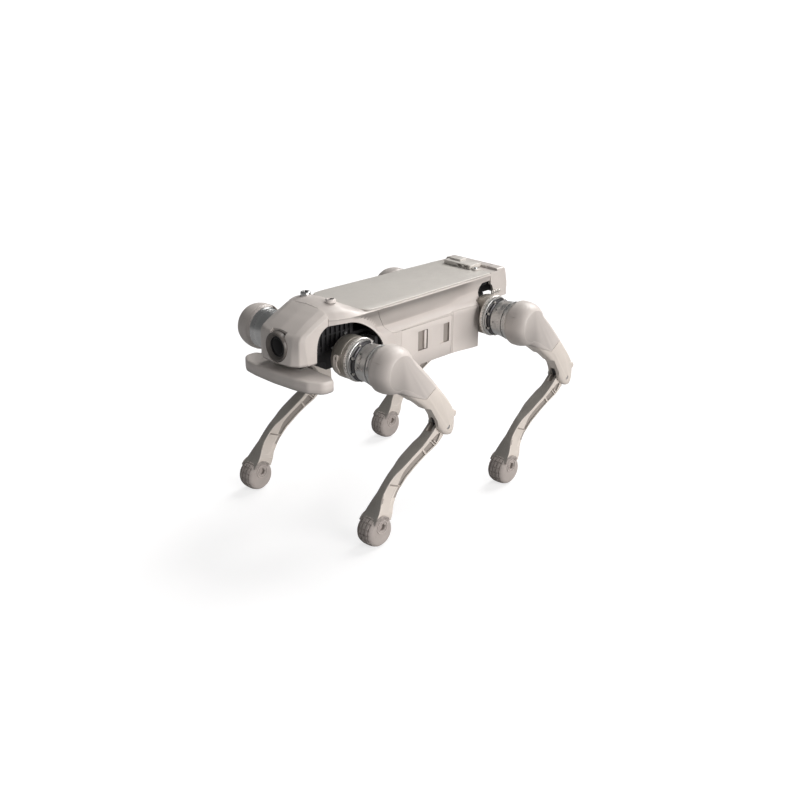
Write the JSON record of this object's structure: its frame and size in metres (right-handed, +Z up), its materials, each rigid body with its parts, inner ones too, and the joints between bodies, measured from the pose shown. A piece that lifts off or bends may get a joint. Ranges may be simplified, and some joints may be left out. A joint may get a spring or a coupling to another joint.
{
  "type": "quadruped robot",
  "caption": "Four-legged walking robot with scooped pale shell body, round front camera, flat chin bumper, curved thighs and slim calves on round rubber feet.",
  "frame": {"origin": "on the ground, under the middle of the bounding box in the standing pose", "axes": "+X forward, +Y to the robot's left, +Z up"},
  "size_m": [0.5892, 0.37, 0.391],
  "materials": {
    "shell_paint": "warm pale grey satin paint",
    "plate_paint": "pale grey satin paint",
    "cast_alloy": "warm pale grey satin casting",
    "motor_steel": "bright machined steel",
    "bracket_alloy": "brown-grey anodised alloy",
    "black_plastic": "matt black",
    "lens_glass": "gloss black lens window",
    "sole_rubber": "grey-brown rubber",
    "belt_rubber": "black belt rubber",
    "circuit_board": "green circuit board"
  },
  "bodies": {
    "chassis": {"body_shell": "shell_paint", "top_plate": "plate_paint", "head_shell": "shell_paint", "lens_bezel": "shell_paint", "camera_lens": "lens_glass", "chin_bumper": "shell_paint", "chassis_frame": "black_plastic", "belly_plate": "black_plastic", "main_board": "circuit_board", "rear_cap": "shell_paint", "port_block": "plate_paint", "left_top_stud": "motor_steel", "right_top_stud": "motor_steel", "front_left_hip_roll_motor": "motor_steel", "front_right_hip_roll_motor": "motor_steel", "rear_left_hip_roll_motor": "motor_steel", "rear_right_hip_roll_motor": "motor_steel"},
    "front_left_hip": {"front_left_hip_bracket": "bracket_alloy", "front_left_hip_motor": "motor_steel"},
    "front_left_thigh": {"front_left_thigh_frame": "cast_alloy", "front_left_thigh_cover": "shell_paint", "front_left_knee_motor": "motor_steel", "front_left_knee_belt": "belt_rubber", "front_left_knee_pin": "motor_steel"},
    "front_left_calf": {"front_left_calf": "cast_alloy", "front_left_foot_pad": "sole_rubber"},
    "front_right_hip": {"front_right_hip_bracket": "bracket_alloy", "front_right_hip_motor": "motor_steel"},
    "front_right_thigh": {"front_right_thigh_frame": "cast_alloy", "front_right_thigh_cover": "shell_paint", "front_right_knee_motor": "motor_steel", "front_right_knee_belt": "belt_rubber", "front_right_knee_pin": "motor_steel"},
    "front_right_calf": {"front_right_calf": "cast_alloy", "front_right_foot_pad": "sole_rubber"},
    "rear_left_hip": {"rear_left_hip_bracket": "bracket_alloy", "rear_left_hip_motor": "motor_steel"},
    "rear_left_thigh": {"rear_left_thigh_frame": "cast_alloy", "rear_left_thigh_cover": "shell_paint", "rear_left_knee_motor": "motor_steel", "rear_left_knee_belt": "belt_rubber", "rear_left_knee_pin": "motor_steel"},
    "rear_left_calf": {"rear_left_calf": "cast_alloy", "rear_left_foot_pad": "sole_rubber"},
    "rear_right_hip": {"rear_right_hip_bracket": "bracket_alloy", "rear_right_hip_motor": "motor_steel"},
    "rear_right_thigh": {"rear_right_thigh_frame": "cast_alloy", "rear_right_thigh_cover": "shell_paint", "rear_right_knee_motor": "motor_steel", "rear_right_knee_belt": "belt_rubber", "rear_right_knee_pin": "motor_steel"},
    "rear_right_calf": {"rear_right_calf": "cast_alloy", "rear_right_foot_pad": "sole_rubber"},
    "battery": {"battery_pack": "black_plastic", "battery_cover": "shell_paint"},
    "latch": {"battery_latch": "shell_paint"},
    "button": {"power_button": "motor_steel"}
  },
  "joints": [
    {"name": "front_left_hip_roll", "type": "hinge", "parent": "chassis", "child": "front_left_hip", "pos_m": [0.1903, 0.045, 0.3], "axis": [1, 0, 0], "range_deg": [-20, 25]},
    {"name": "front_left_hip_pitch", "type": "hinge", "parent": "front_left_hip", "child": "front_left_thigh", "pos_m": [0.1903, 0.1515, 0.3], "axis": [0, 1, 0], "range_deg": [-60, 50]},
    {"name": "front_left_knee", "type": "hinge", "parent": "front_left_thigh", "child": "front_left_calf", "pos_m": [0.0643, 0.1515, 0.169], "axis": [0, 1, 0], "range_deg": [-50, 40]},
    {"name": "front_right_hip_roll", "type": "hinge", "parent": "chassis", "child": "front_right_hip", "pos_m": [0.1903, -0.045, 0.3], "axis": [-1, 0, 0], "range_deg": [-20, 25]},
    {"name": "front_right_hip_pitch", "type": "hinge", "parent": "front_right_hip", "child": "front_right_thigh", "pos_m": [0.1903, -0.1515, 0.3], "axis": [0, 1, 0], "range_deg": [-60, 50]},
    {"name": "front_right_knee", "type": "hinge", "parent": "front_right_thigh", "child": "front_right_calf", "pos_m": [0.0643, -0.1515, 0.169], "axis": [0, 1, 0], "range_deg": [-50, 40]},
    {"name": "rear_left_hip_roll", "type": "hinge", "parent": "chassis", "child": "rear_left_hip", "pos_m": [-0.1447, 0.045, 0.3], "axis": [1, 0, 0], "range_deg": [-20, 25]},
    {"name": "rear_left_hip_pitch", "type": "hinge", "parent": "rear_left_hip", "child": "rear_left_thigh", "pos_m": [-0.1447, 0.1515, 0.3], "axis": [0, 1, 0], "range_deg": [-30, 50]},
    {"name": "rear_left_knee", "type": "hinge", "parent": "rear_left_thigh", "child": "rear_left_calf", "pos_m": [-0.2707, 0.1515, 0.169], "axis": [0, 1, 0], "range_deg": [-50, 40]},
    {"name": "rear_right_hip_roll", "type": "hinge", "parent": "chassis", "child": "rear_right_hip", "pos_m": [-0.1447, -0.045, 0.3], "axis": [-1, 0, 0], "range_deg": [-20, 25]},
    {"name": "rear_right_hip_pitch", "type": "hinge", "parent": "rear_right_hip", "child": "rear_right_thigh", "pos_m": [-0.1447, -0.1515, 0.3], "axis": [0, 1, 0], "range_deg": [-30, 50]},
    {"name": "rear_right_knee", "type": "hinge", "parent": "rear_right_thigh", "child": "rear_right_calf", "pos_m": [-0.2707, -0.1515, 0.169], "axis": [0, 1, 0], "range_deg": [-50, 40]},
    {"name": "battery_slide", "type": "slide", "parent": "chassis", "child": "battery", "axis": [0, 1, 0], "range_m": [0, 0.065]},
    {"name": "latch_slide", "type": "slide", "parent": "battery", "child": "latch", "axis": [-1, 0, 0], "range_m": [0, 0.003], "stiffness_N_per_m": 300, "springref_m": -0.002},
    {"name": "power_press", "type": "slide", "parent": "chassis", "child": "button", "axis": [0, 0, -1], "range_m": [0, 0.001], "stiffness_N_per_m": 500, "springref_m": -0.001}
  ]
}
